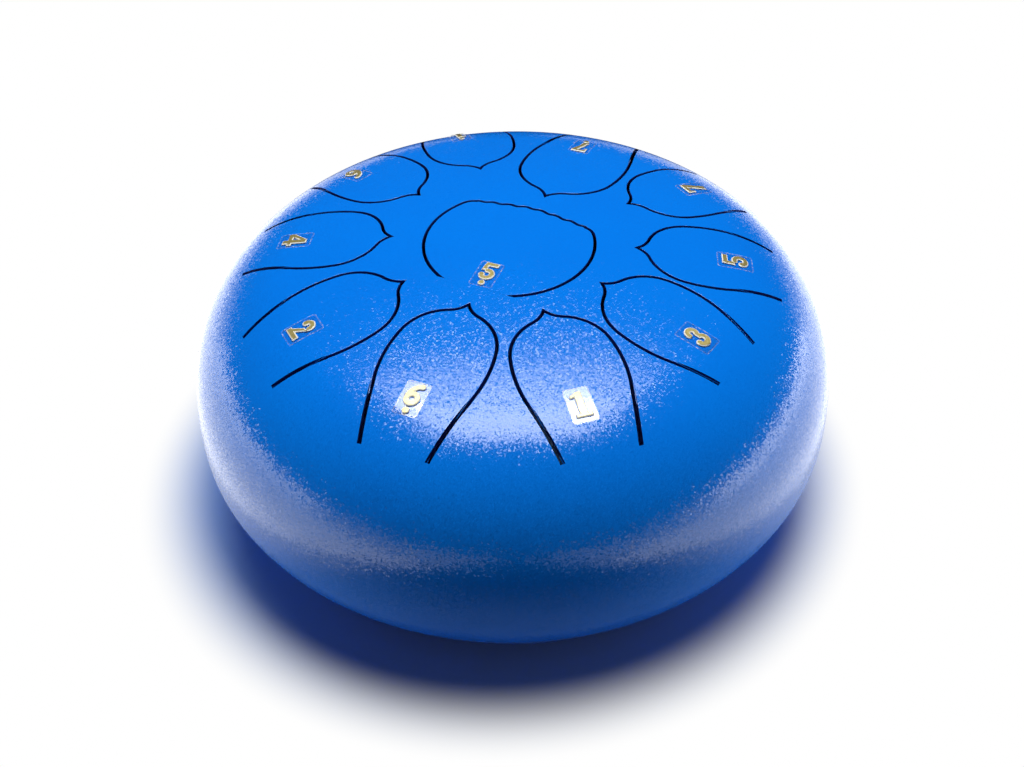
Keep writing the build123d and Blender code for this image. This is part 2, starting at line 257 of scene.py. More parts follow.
class DrumStage(bpy.types.PropertyGroup):
    """Camera and lamps."""

    camera_height: angle("Camera elevation", "Angle of the camera above level", 42.14)
    camera_distance: length("Camera distance", "From the camera to the point that it looks at", 0.4463)
    target_height: length("Target height", "Height of the point that the camera looks at", 0.06055)
    camera_roll: angle("Camera roll", "Turn of the camera about its line of sight", -1.455)
    focal_pixels: share("Focal length in pixels", "From lens to image in the photograph's pixels", 1083.8)
    centre_drop: share("Image centre offset", "Pixels from the image's middle up to the line of sight", 29.16)
    # The shade's squeeze, shift, start and end draw a painted outline for the drum's shadow on the paper
    shade_squeeze: share("Shade squeeze", "How much shorter the shade is in front than aside", 1.09)
    shade_shift: length("Shade shift", "How far the shade's middle lies to the left of the drum's", 0.006)
    # The paper near the drum is coloured blue: painted blue light in the drum's shade
    paper_painted_blue_shade: paint_chip("Floor", "Colour of the paper in the drum's shade", "#93B4E6")
    floor_dark: paint_chip("Floor further off", "Colour that paper further off lends to the light", "#303236")
    paper_start: length("Paper edge start", "Distance aside where the paper starts to darken", 0.14)
    paper_end: length("Paper edge end", "Distance aside where the paper is dark", 0.30)
    shade_start: length("Shade start", "Distance aside where the drum's shade begins to fade", 0.124)
    shade_end: length("Shade end", "Distance aside where the paper is white again", 0.160)
    mirror_start: length("Mirrored paper start", "Distance aside where reflections first show paper", 0.11)
    mirror_end: length("Mirrored paper end", "Distance aside where reflections show the paper fully", 0.17)
    overhead_power: power("Overhead lamp", "Power of the softbox above and behind", 5.2)
    core_power: power("Overhead core", "Power of the softbox's brighter middle", 2.5)
    left_power: power("Left lamp", "Power of the strip softbox on the left", 0.42)
    right_power: power("Right lamp", "Power of the strip softbox on the right", 0.75)
    table_power: power("Light tables", "Power of each light table beside the drum", 1.2)
    room_level: share("Room", "Brightness of the dark room above the white paper", 0.03)


class Drum(bpy.types.PropertyGroup):
    """Everything that can be set on the drum."""

    shells: PointerProperty(type=DrumShells)
    tongues: PointerProperty(type=DrumTongues)
    finish: PointerProperty(type=DrumFinish)
    stage: PointerProperty(type=DrumStage)


# Section of the drum


def polar(centre, radius, turn):
    """A point in a plane, at an angle from the first axis on a circle."""
    return (centre[0] + radius * cos(turn), centre[1] + radius * sin(turn))


def skin_arcs():
    """The painted skin's section as arcs of centre, radius, start and end, with angles from straight up."""
    shells = bpy.context.scene.drum.shells
    radius, rim, base = shell_high.x, shell_low.z, bowl_low.z
    crown_slope = asin(shells.crown_diameter / 2 / shells.crown_radius)
    rise = sin(shells.shoulder_slope)
    reach = radius - shells.crown_diameter / 2 - shells.side_radius * (1 - rise)
    shoulder_radius = reach / (rise - sin(crown_slope))
    side_centre = (radius - shells.side_radius, rim)
    shoulder_centre = polar(side_centre, shells.side_radius - shoulder_radius, pi / 2 - shells.shoulder_slope)
    crown_centre = polar(shoulder_centre, shoulder_radius - shells.crown_radius, pi / 2 - crown_slope)
    rim_centre = (radius - shells.bowl_rim_radius, rim)
    lean_end = polar(rim_centre, shells.bowl_rim_radius, -shells.bowl_taper)
    corner_height = base + shells.bowl_corner_radius
    drop = lean_end[1] - corner_height + shells.bowl_corner_radius * sin(shells.bowl_taper)
    corner_reach = lean_end[0] - shells.bowl_corner_radius * cos(shells.bowl_taper)
    corner_reach -= drop * tan(shells.bowl_taper)
    corner_centre = (corner_reach, corner_height)
    return {
        "crown": (crown_centre, shells.crown_radius, 0.0, crown_slope),
        "shoulder": (shoulder_centre, shoulder_radius, crown_slope, shells.shoulder_slope),
        "side": (side_centre, shells.side_radius, shells.shoulder_slope, pi / 2),
        "bowl_rim": (rim_centre, shells.bowl_rim_radius, pi / 2, pi / 2 + shells.bowl_taper),
        "bowl_corner": (corner_centre, shells.bowl_corner_radius, pi / 2 + shells.bowl_taper, pi),
    }


def lid_height(arcs, reach):
    """Height of the painted lid at a distance from the drum's axis."""
    for name in ("crown", "shoulder"):
        centre, radius, start, end = arcs[name]
        if reach <= centre[0] + radius * sin(end):
            break
    return centre[1] + sqrt(radius**2 - (reach - centre[0]) ** 2)


def skin_normal(arcs, point):
    """The way out of the sheet at a point on its painted or its inner face."""
    reach = hypot(point.x, point.y)
    found = []
    for centre, radius, start, end in arcs.values():
        turn = atan2(reach - centre[0], point.z - centre[1])
        gap = abs(hypot(reach - centre[0], point.z - centre[1]) - radius)
        found.append((max(start - turn, turn - end, 0.0) * radius + gap, min(max(turn, start), end)))
    turn = min(found)[1]
    across = sin(turn) / reach if reach > 0 else 0.0
    return Vector((point.x * across, point.y * across, cos(turn)))


# Modelling helpers


def start_point(name, place):
    """A new piece with a single point, in edit mode, to be drawn out from there."""
    bpy.ops.object.select_all(action="DESELECT")
    bpy.ops.mesh.primitive_plane_add(size=1)
    piece = bpy.context.object
    piece.name = piece.data.name = name
    bpy.ops.object.mode_set(mode="EDIT")
    bpy.ops.mesh.merge(type="CENTER")
    bpy.ops.transform.translate(value=place)
    return piece


def draw_section(name, start, path, steps):
    """Draws a section of arcs and straight runs outwards from a point and spins it round the drum's axis.

    A path has arcs as (centre, turn, segments), and straight runs as the reach and height that they go to.
    """
    piece = start_point(name, (start[0], 0, start[1]))
    here = start
    for move in path:
        if len(move) == 3:
            centre, turn, segments = move
            bpy.ops.mesh.spin(
                steps=segments,
                angle=turn,
                center=(centre[0], 0, centre[1]),
                axis=(0, -1, 0),
                use_auto_merge=False,
            )
            radius = hypot(here[0] - centre[0], here[1] - centre[1])
            now = atan2(here[0] - centre[0], here[1] - centre[1]) + turn
            here = (centre[0] + radius * sin(now), centre[1] + radius * cos(now))
        else:
            run = (move[0] - here[0], 0, move[1] - here[1])
            bpy.ops.mesh.extrude_region_move(TRANSFORM_OT_translate={"value": run})
            here = move
    bpy.ops.mesh.select_all(action="SELECT")
    bpy.ops.mesh.remove_doubles(threshold=MERGE_GAP)
    bpy.ops.mesh.spin(steps=steps, angle=2 * pi, center=(0, 0, 0), axis=(0, 0, 1))
    bpy.ops.mesh.select_all(action="SELECT")
    bpy.ops.mesh.remove_doubles(threshold=MERGE_GAP)
    bpy.ops.mesh.normals_make_consistent(inside=False)
    bpy.ops.object.mode_set(mode="OBJECT")
    return piece


def pick(piece):
    """Selects one piece alone and makes it the active one."""
    bpy.ops.object.select_all(action="DESELECT")
    piece.select_set(True)
    bpy.context.view_layer.objects.active = piece


def copy_piece(piece, name):
    """A copy of a piece with its own mesh."""
    pick(piece)
    bpy.ops.object.duplicate()
    twin = bpy.context.object
    twin.name = twin.data.name = name
    return twin


def box_middle(piece):
    """The middle of a piece's box."""
    corners = [Vector(corner) for corner in piece.bound_box]
    return sum(corners, Vector()) / len(corners)


def cut_with(piece, cutter, operation):
    """Cuts a piece with a closed solid and keeps what the operation names."""
    pick(piece)
    cut = piece.modifiers.new("Cut", "BOOLEAN")
    cut.operation = operation
    cut.solver = "MANIFOLD"
    cut.object = cutter
    bpy.ops.object.modifier_apply(modifier=cut.name)


def shade_as_skin(piece):
    """Smooths a sheet piece, with the true normals of the drawn skin on both its faces.

    Faces that the spray gun reached get the first material, and the inside and the cut edges the second, a
    dark overspray whose colour is painted shade.
    """
    pick(piece)
    bpy.ops.object.shade_smooth_by_angle(angle=SHEET_CREASE)
    mesh = piece.data
    mesh.materials.clear()
    arcs = skin_arcs()
    corners = [corner.vector.copy() for corner in mesh.corner_normals]
    for face in mesh.polygons:
        facing = face.normal.dot(skin_normal(arcs, face.center))
        # Cut walls and the inside get the dark overspray, painted shade for the cuts and the drum's hollow
        face.material_index = 0 if facing > cos(SPRAY_LEAN) else 1
        if abs(facing) < cos(SKIN_LEAN):
            continue
        side = 1 if facing > 0 else -1
        for loop in face.loop_indices:
            corners[loop] = side * skin_normal(arcs, mesh.vertices[mesh.loops[loop].vertex_index].co)
    mesh.normals_split_custom_set(corners)


def dress(piece, materials, body, slot, *nodes):
    """Gives a finished piece its materials, the body that it rides on and the nodes that it stands for."""
    for material in materials:
        piece.data.materials.append(material)
    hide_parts(*nodes)
    if body:
        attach(piece, body)


def faces_up(arcs, face):
    """Whether a face of a label lies along the lid under it."""
    return face.normal.dot(skin_normal(arcs, face.center)) > cos(LABEL_LEAN)


def joined_copy(node, name):
    """A copy of a CAD piece with its loose triangles joined up, in edit mode with its upper face selected."""
    twin = copy_piece(frame["nodes"][node], name)
    bpy.ops.object.parent_clear(type="CLEAR")
    del twin["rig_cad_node"]
    twin.data.materials.clear()
    bpy.ops.mesh.customdata_custom_splitnormals_clear()
    bpy.ops.object.mode_set(mode="EDIT")
    bpy.ops.mesh.select_all(action="SELECT")
    bpy.ops.mesh.remove_doubles(threshold=MERGE_GAP)
    bpy.ops.mesh.select_all(action="DESELECT")
    bpy.ops.object.mode_set(mode="OBJECT")
    arcs = skin_arcs()
    for face in twin.data.polygons:
        face.select = faces_up(arcs, face)
    bpy.ops.object.mode_set(mode="EDIT")
    bpy.ops.mesh.select_mode(type="FACE")
    return twin


# Outlines of the tongues, seen from above with the root along the first axis


def walk(start, heading, turns):
    """Points along arcs that follow on from each other, each a radius, a turn and a number of segments."""
    points = [Vector(start)]
    for radius, turn, segments in turns:
        side = 1 if turn > 0 else -1
        centre = points[-1] + Vector(polar((0, 0), radius, heading + side * pi / 2))
        first = heading - side * pi / 2
        steps = [first + turn * i / segments for i in range(1, segments + 1)]
        points += [centre + Vector(polar((0, 0), radius, step)) for step in steps]
        heading += turn
    return points


def petal_outline(shares, radius, overrun):
    """The middle line of the cut round a petal tongue, run out straight past its root."""
    tongues = bpy.context.scene.drum.tongues
    taper, tip, root, head_share = shares[1:]
    taper = radians(taper)
    head = head_share * radius
    flick, brow, flank = PETAL_SEGMENTS
    half = walk(
        (tip * radius, 0),
        tongues.tip_angle,
        (
            (tongues.flick_radius * head, tongues.flick_angle - tongues.tip_angle, flick),
            (tongues.brow_radius * head, tongues.brow_angle - tongues.flick_angle, brow),
            (tongues.flank_radius * head, -taper - tongues.brow_angle, flank),
        ),
    )
    run = (root * radius + overrun - half[-1].x) / cos(taper)
    half.append(half[-1] + Vector(polar((0, 0), run, -taper)))
    return half + [Vector((p.x, -p.y)) for p in reversed(half[1:])]


def centre_outline(radius):
    """The middle line of the cut round the centre tongue, with its rippled far edge."""
    tongues = bpy.context.scene.drum.tongues
    side_radius = tongues.centre_radius * radius
    start = polar((0, 0), side_radius, tongues.centre_cut_angle)
    side, corner = CENTRE_SEGMENTS
    corner_turn = pi - tongues.far_edge_angle - tongues.centre_brow_angle
    half = walk(
        start,
        tongues.centre_cut_angle + pi / 2,
        (
            (side_radius, tongues.centre_brow_angle - tongues.centre_cut_angle, side),
            (tongues.far_corner_radius * radius, corner_turn, corner),
        ),
    )
    end = half[-1]
    waves = []
    steps = 2 * tongues.ripple_count
    for i in range(1, RIPPLE_SEGMENTS * steps):
        step = i / RIPPLE_SEGMENTS
        across = 1 - step / tongues.ripple_count
        peak = 1 - hypot(across, EDGE_SOFTNESS) + EDGE_SOFTNESS
        rise = tongues.far_edge_rise * radius * peak
        fade = min(1.0, step, steps - step)
        waves.append(Vector((end.x - rise - fade * tongues.ripple_height * cos(pi * step), end.y * across)))
    return half + waves + [Vector((p.x, -p.y)) for p in reversed(half)]


def mitres(outline):
    """For each point of a closed outline, the way out that moves both its sides by one unit."""
    ways = []
    for i, point in enumerate(outline):
        before = (point - outline[i - 1]).normalized()
        after = (outline[(i + 1) % len(outline)] - point).normalized()
        first, second = (Vector((d.y, -d.x)) for d in (before, after))
        ways.append((first + second) / (1 + first.dot(second)))
    return ways


def build_cutter(name, note, growth, edge_radius):
    """A closed solid round a tongue that follows the lid, with its edge rounded off where it meets the paint.

    A positive growth gives what the shell loses, and a negative one what the tongue keeps.
    """
    arcs = skin_arcs()
    tongues = bpy.context.scene.drum.tongues
    radius = shell_high.x
    if note in PETAL_SHARES:
        outline = petal_outline(PETAL_SHARES[note], radius, CUT_OVERRUN)
        axis, root = radians(PETAL_SHARES[note][0]), PETAL_SHARES[note][3] * radius
    else:
        outline = centre_outline(radius)
        axis, root = tongues.centre_angle, tongues.centre_root * radius
    if sum(a.cross(b) for a, b in zip(outline, outline[1:] + outline[:1])) < 0:
        outline.reverse()
    ways = mitres(outline)
    side = 1 if growth > 0 else -1
    round_off = 1 - sqrt(0.5)
    top = arcs["crown"][0][1] + arcs["crown"][1] + CUT_OVERRUN
    floor = top - CUT_DEPTH
    rings = (
        (growth, None, floor),
        (growth, -edge_radius, None),
        (growth + side * round_off * edge_radius, -round_off * edge_radius, None),
        (growth + side * edge_radius, 0.0, None),
        (growth + side * 1.5 * edge_radius, 0.2 * edge_radius, None),
        (growth + side * 1.5 * edge_radius, None, top),
    )
    points = []
    for offset, rise, level in rings:
        for point, way in zip(outline, ways):
            moved = point + offset * way
            height = level if rise is None else lid_height(arcs, moved.length) + rise
            points.append((moved.x, moved.y, height))
    count = len(outline)
    faces = [tuple(reversed(range(count))), tuple(range(count * (len(rings) - 1), count * len(rings)))]
    for ring in range(len(rings) - 1):
        for i in range(count):
            j = (i + 1) % count
            faces.append((ring * count + i, ring * count + j, (ring + 1) * count + j, (ring + 1) * count + i))
    mesh = bpy.data.meshes.new(name)
    mesh.from_pydata(points, [], faces)
    cutter = bpy.data.objects.new(name, mesh)
    bpy.context.scene.collection.objects.link(cutter)
    pick(cutter)
    bpy.ops.object.mode_set(mode="EDIT")
    bpy.ops.mesh.select_all(action="SELECT")
    bpy.ops.mesh.bisect(plane_co=(root, 0, 0), plane_no=(1, 0, 0), use_fill=True, clear_outer=True)
    bpy.ops.mesh.select_all(action="SELECT")
    bpy.ops.mesh.normals_make_consistent(inside=False)
    bpy.ops.object.mode_set(mode="OBJECT")
    cutter.rotation_euler.z = axis
    bpy.ops.object.transform_apply(location=False, rotation=True, scale=False)
    return cutter


def join_cutters(name, growth):
    """One object with the cutters of all tongues."""
    edge_radius = bpy.context.scene.drum.tongues.edge_radius
    cutters = [build_cutter(f"{name}_{note}", note, growth, edge_radius) for note in NOTES]
    bpy.ops.object.select_all(action="DESELECT")
    for cutter in cutters:
        cutter.select_set(True)
    bpy.context.view_layer.objects.active = cutters[0]
    bpy.ops.object.join()
    return bpy.context.object


def build_dome(name):
    """The uncut dome: the drawn sheet from the middle of the lid down to the seam."""
    shells = bpy.context.scene.drum.shells
    arcs = skin_arcs()
    outer = [(arcs[n][0], arcs[n][3] - arcs[n][2], count) for n, count in DOME_SEGMENTS.items()]
    inner = [(centre, -turn, count) for centre, turn, count in reversed(outer)]
    centre, radius = arcs["crown"][:2]
    rim = arcs["side"]
    turn_in = (rim[0][0] + rim[1] - shells.wall, rim[0][1])
    return draw_section(name, (0, centre[1] + radius), [*outer, turn_in, *inner], shells.spin_steps)


# Materials


def add_node(tree, kind, inputs=None, **settings):
    """Adds a node with its settings, and sets or links its inputs."""
    made = tree.nodes.new(kind)
    for name, value in settings.items():
        setattr(made, name, value)
    for name, value in (inputs or {}).items():
        if isinstance(value, bpy.types.NodeSocket):
            tree.links.new(value, made.inputs[name])
        else:
            made.inputs[name].default_value = value
    return made


def new_material(name):
    """A new material, its tree and its output."""
    material = bpy.data.materials.new(name)
    material.use_nodes = True
    material.node_tree.nodes.clear()
    output = add_node(material.node_tree, "ShaderNodeOutputMaterial")
    return material, material.node_tree, output


@cache
def sprayed_enamel():
    """Blue enamel, sprayed and baked on steel: an even colour, its gloss broken up by an orange peel."""
    finish = bpy.context.scene.drum.finish
    material, tree, output = new_material("sprayed_blue_enamel")
    place = add_node(tree, "ShaderNodeTexCoord").outputs["Object"]
    drift = add_node(tree, "ShaderNodeTexNoise", {"Vector": place, "Scale": 1 / PAINT_DRIFT, "Detail": 2.0})
    colour = add_node(
        tree,
        "ShaderNodeMix",
        {0: drift.outputs["Fac"], MIX_A: (*finish.paint_blue, 1), MIX_B: (*finish.paint_deep, 1)},
        data_type="RGBA",
    )
    # Each slope of the peel is drawn as one flat facet, and cubing leaves most level and a few steep
    facets = add_node(tree, "ShaderNodeTexVoronoi", {"Vector": place, "Scale": 1 / finish.peel_size})
    spread = add_node(
        tree,
        "ShaderNodeMapRange",
        {"Vector": facets.outputs["Color"], RANGE_LOW: (-1, -1, -1), RANGE_HIGH: (1, 1, 1)},
        data_type="FLOAT_VECTOR",
    ).outputs["Vector"]
    square = add_node(tree, "ShaderNodeVectorMath", {0: spread, 1: spread}, operation="MULTIPLY")
    lean = add_node(
        tree, "ShaderNodeVectorMath", {0: square.outputs["Vector"], 1: spread}, operation="MULTIPLY"
    )
    level = add_node(tree, "ShaderNodeNewGeometry").outputs["Normal"]
    leaning = add_node(
        tree,
        "ShaderNodeVectorMath",
        {0: lean.outputs["Vector"], 1: (finish.peel_lean,) * 3, 2: level},
        operation="MULTIPLY_ADD",
    )
    peel = add_node(tree, "ShaderNodeVectorMath", {0: leaning.outputs["Vector"]}, operation="NORMALIZE")
    gloss = add_node(
        tree, "ShaderNodeMapRange", {"Value": drift.outputs["Fac"], "To Min": 0.12, "To Max": 0.15}
    )
    shader = add_node(
        tree,
        "ShaderNodeBsdfPrincipled",
        {
            "Base Color": colour.outputs[MIX_RESULT],
            "Roughness": gloss.outputs["Result"],
            "IOR": 1.5,
            "Normal": peel.outputs["Vector"],
        },
    )
    tree.links.new(shader.outputs["BSDF"], output.inputs["Surface"])
    return material


@cache
def overspray_with_painted_shade():
    """Thin, dry overspray on raw steel: dull and mottled, with a dark colour that is painted shade for the
    cuts and the drum's inside.
    """
    finish = bpy.context.scene.drum.finish
    material, tree, output = new_material("thin_overspray_on_steel")
    place = add_node(tree, "ShaderNodeTexCoord").outputs["Object"]
    dust = add_node(tree, "ShaderNodeTexNoise", {"Vector": place, "Scale": 1 / OVERSPRAY_DUST, "Detail": 3.0})
    gloss = add_node(tree, "ShaderNodeMapRange", {"Value": dust.outputs["Fac"], "To Min": 0.5, "To Max": 0.8})
    bump = add_node(tree, "ShaderNodeBump", {"Height": dust.outputs["Fac"], "Distance": DUST_HEIGHT})
    shader = add_node(
        tree,
        "ShaderNodeBsdfPrincipled",
        {
            "Base Color": (*finish.overspray_painted_shade, 1),
            "Roughness": gloss.outputs["Result"],
            "IOR": 1.5,
            "Normal": bump.outputs["Normal"],
        },
    )
    tree.links.new(shader.outputs["BSDF"], output.inputs["Surface"])
    return material


@cache
def clear_label_film():
    """Clear polyester label film: hardly seen, but for a hazy rim with specks of trapped air."""
    finish = bpy.context.scene.drum.finish
    material, tree, output = new_material("clear_polyester_film")
    place = add_node(tree, "ShaderNodeTexCoord").outputs["Object"]
    border = add_node(tree, "ShaderNodeAttribute", attribute_name=BORDER).outputs["Fac"]
    air = add_node(tree, "ShaderNodeTexNoise", {"Vector": place, "Scale": 1 / FILM_AIR, "Detail": 2.0})
    specks = add_node(
        tree,
        "ShaderNodeMapRange",
        {"Value": air.outputs["Fac"], "From Min": 0.5, "From Max": 0.6, "To Max": 0.5},
    )
    lifted = add_node(tree, "ShaderNodeMath", {0: border, 1: specks.outputs["Result"]}, operation="MULTIPLY")
    veil = add_node(
        tree,
        "ShaderNodeMath",
        {0: border, 1: finish.film_veil, 2: lifted.outputs[0]},
        operation="MULTIPLY_ADD",
    )
    bump = add_node(tree, "ShaderNodeBump", {"Height": air.outputs["Fac"], "Distance": AIR_HEIGHT})
    mirror = add_node(
        tree,
        "ShaderNodeBsdfGlossy",
        {"Color": (1, 1, 1, 1), "Roughness": 0.06, "Normal": bump.outputs["Normal"]},
    )
    clear = add_node(tree, "ShaderNodeBsdfTransparent")
    film = add_node(
        tree,
        "ShaderNodeMixShader",
        {0: finish.film_gloss, 1: clear.outputs["BSDF"], 2: mirror.outputs["BSDF"]},
    )
    haze = add_node(tree, "ShaderNodeBsdfDiffuse", {"Color": (*finish.film_haze, 1)})
    hazy = add_node(
        tree, "ShaderNodeMixShader", {0: veil.outputs[0], 1: film.outputs["Shader"], 2: haze.outputs["BSDF"]}
    )
    tree.links.new(hazy.outputs["Shader"], output.inputs["Surface"])
    return material


@cache
def stamped_foil():
    """Gold foil, stamped into raised numerals: bright metal that is a little creased and dented."""
    finish = bpy.context.scene.drum.finish
    material, tree, output = new_material("stamped_gold_foil")
    place = add_node(tree, "ShaderNodeTexCoord").outputs["Object"]
    crease = add_node(
        tree,
        "ShaderNodeTexNoise",
        {"Vector": place, "Scale": 1 / FOIL_CREASE, "Detail": 2.0, "Roughness": 0.55},
    )
    colour = add_node(
        tree,
        "ShaderNodeMix",
        {0: crease.outputs["Fac"], MIX_A: (*finish.foil_worn, 1), MIX_B: (*finish.foil_gold, 1)},
        data_type="RGBA",
    )
    bump = add_node(tree, "ShaderNodeBump", {"Height": crease.outputs["Fac"], "Distance": DENT_HEIGHT})
    shader = add_node(
        tree,
        "ShaderNodeBsdfPrincipled",
        {
            "Base Color": colour.outputs[MIX_RESULT],
            "Metallic": 0.6,
            "Roughness": 0.35,
            "Coat Weight": 1.0,
            "Coat Roughness": 0.08,
            "Normal": bump.outputs["Normal"],
        },
    )
    tree.links.new(shader.outputs["BSDF"], output.inputs["Surface"])
    return material


@cache
def white_edge_painted_glint():
    """A painted highlight: white colour on a numeral's sloping edge and sides, standing in for the glints
    there; slightly glossy, with faint marks in its gloss.
    """
    finish = bpy.context.scene.drum.finish
    material, tree, output = new_material("die_cut_white_vinyl")
    place = add_node(tree, "ShaderNodeTexCoord").outputs["Object"]
    marks = add_node(tree, "ShaderNodeTexNoise", {"Vector": place, "Scale": 1 / EDGE_GLOSS_MARKS, "Detail": 1.0})
    gloss = add_node(
        tree, "ShaderNodeMapRange", {"Value": marks.outputs["Fac"], "To Min": 0.2, "To Max": 0.4}
    )
    shader = add_node(
        tree,
        "ShaderNodeBsdfPrincipled",
        {"Base Color": (*finish.glint_white_edge, 1), "Roughness": gloss.outputs["Result"], "IOR": 1.53},
    )
    tree.links.new(shader.outputs["BSDF"], output.inputs["Surface"])
    return material


@cache
def moulded_rubber():
    """Black rubber, moulded: dull, with a fine mould grain and a little dust."""
    finish = bpy.context.scene.drum.finish
    material, tree, output = new_material("moulded_black_rubber")
    place = add_node(tree, "ShaderNodeTexCoord").outputs["Object"]
    grain = add_node(tree, "ShaderNodeTexNoise", {"Vector": place, "Scale": 1 / MOULD_GRAIN, "Detail": 2.0})
    dust = add_node(
        tree, "ShaderNodeMapRange", {"Value": grain.outputs["Fac"], "To Min": 0.62, "To Max": 0.85}
    )
    bump = add_node(tree, "ShaderNodeBump", {"Height": grain.outputs["Fac"], "Distance": GRAIN_HEIGHT})
    shader = add_node(
        tree,
        "ShaderNodeBsdfPrincipled",
        {
            "Base Color": (*finish.rubber_black, 1),
            "Roughness": dust.outputs["Result"],
            "IOR": 1.52,
            "Normal": bump.outputs["Normal"],
        },
    )
    tree.links.new(shader.outputs["BSDF"], output.inputs["Surface"])
    return material


def painted_sheet():
    """The finishes of a sheet piece: the enamel outside, and inside the dark overspray, which is painted
    shade.
    """
    return sprayed_enamel(), overspray_with_painted_shade()


# Operators


class DRUM_OT_upper_shell(bpy.types.Operator):
    """Spin the dome and cut it free round every tongue."""

    bl_idname = "drum.upper_shell"
    bl_label = "Upper shell"

    def execute(self, context):
        dome = copy_piece(build_dome("dome_blank"), "dome_with_cuts")
        cutter = join_cutters("slot", context.scene.drum.tongues.slot_width / 2)
        cut_with(dome, cutter, "DIFFERENCE")
        bpy.data.objects.remove(cutter)
        shade_as_skin(dome)
        dress(dome, painted_sheet(), "drum", "blue_paint", "upper_shell")
        return {"FINISHED"}


class DRUM_OT_tongues(bpy.types.Operator):
    """Cut the tongues out of the same sheet."""

    bl_idname = "drum.tongues"
    bl_label = "Tongues"

    def execute(self, context):
        tongues = context.scene.drum.tongues
        sheet = bpy.data.objects["dome_blank"]
        cutter = join_cutters("blank", -tongues.slot_width / 2)
        cut_with(sheet, cutter, "INTERSECT")
        bpy.data.objects.remove(cutter)
        bpy.ops.object.mode_set(mode="EDIT")
        bpy.ops.mesh.select_all(action="SELECT")
        bpy.ops.mesh.separate(type="LOOSE")
        bpy.ops.object.mode_set(mode="OBJECT")
        blanks = list(context.selected_objects)
        if len(blanks) != len(NOTES):
            raise RuntimeError(f"the cuts left {len(blanks)} tongues")
        for note in NOTES:
            low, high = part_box(f"tongue_{note}")
            middle = (low + high) / 2
            blank = min(blanks, key=lambda b: (box_middle(b) - middle).length)
            blank.name = blank.data.name = f"painted_tongue_{note}"
            shade_as_skin(blank)
            dress(blank, painted_sheet(), None, "blue_paint", f"tongue_{note}")
            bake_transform(blank)
        return {"FINISHED"}


class DRUM_OT_lower_shell(bpy.types.Operator):
    """Spin the bowl with its lip and sound hole, and the ground weld that joins it to the dome."""

    bl_idname = "drum.lower_shell"
    bl_label = "Lower shell"

    def execute(self, context):
        shells = context.scene.drum.shells
        arcs = skin_arcs()
        rim_centre, rim_radius, rim_start, rim_end = arcs["bowl_rim"]
        corner_centre, corner_radius, corner_start, corner_end = arcs["bowl_corner"]
        side_centre, side_radius = arcs["side"][:2]
        dome_inside = side_centre[0] + sqrt((side_radius - shells.wall) ** 2 - shells.lip_height**2)
        lip = dome_inside - shells.lip_clearance
        ledge = asin(shells.weld_width / rim_radius)
        joggle = asin((shells.weld_width + shells.joggle_height) / (rim_radius - shells.wall))
        rim = rim_centre[1]
        hole = shells.sound_hole_diameter / 2
        base = corner_centre[1] - corner_radius
        edge = shells.hole_edge_radius
        rim_in = polar(rim_centre, rim_radius - shells.wall, -joggle)
        side_out = polar(corner_centre, corner_radius, -shells.bowl_taper)
        side_in = polar(rim_centre, rim_radius - shells.wall, -shells.bowl_taper)
        bowl = draw_section(
            "bowl_with_lip",
            polar(rim_centre, rim_radius, -ledge),
            [
                (rim_centre, rim_end - rim_start - ledge, 12),
                side_out,
                (corner_centre, corner_end - corner_start, 12),
                (hole + edge, base),
                ((hole + edge, base + edge), pi / 2, 4),
                (hole, base + shells.wall - edge),
                ((hole + edge, base + shells.wall - edge), pi / 2, 4),
                (corner_centre[0], base + shells.wall),
                (corner_centre, corner_start - corner_end, 12),
                side_in,
                (rim_centre, joggle + rim_start - rim_end, 10),
                (lip - shells.wall, rim - shells.weld_width),
                (lip - shells.wall, rim + shells.lip_height),
                (lip, rim + shells.lip_height),
                (lip, rim - shells.weld_width),
                polar(rim_centre, rim_radius, -ledge),
            ],
            shells.spin_steps,
        )
        for side in FEET:
            low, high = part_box(f"foot_{side}")
            bpy.ops.object.select_all(action="DESELECT")
            bpy.ops.mesh.primitive_cylinder_add(
                vertices=FOOT_STEPS,
                radius=context.scene.drum.finish.foot_hole_diameter / 2,
                depth=DRILL_WALLS * shells.wall,
                location=((low.x + high.x) / 2, (low.y + high.y) / 2, base),
            )
            drill = context.object
            cut_with(bowl, drill, "DIFFERENCE")
            bpy.data.objects.remove(drill)
        shade_as_skin(bowl)
        dress(bowl, painted_sheet(), "drum", "blue_paint", "lower_shell")
        weld = draw_section(
            "ground_weld",
            (rim_centre[0] + rim_radius, rim),
            [
                (rim_centre, ledge, 3),
                (lip, rim - shells.weld_width),
                (lip, rim),
                (rim_centre[0] + rim_radius, rim),
            ],
            shells.spin_steps,
        )
        shade_as_skin(weld)
        dress(weld, painted_sheet(), "drum", "blue_paint", "seam_weld")
        return {"FINISHED"}


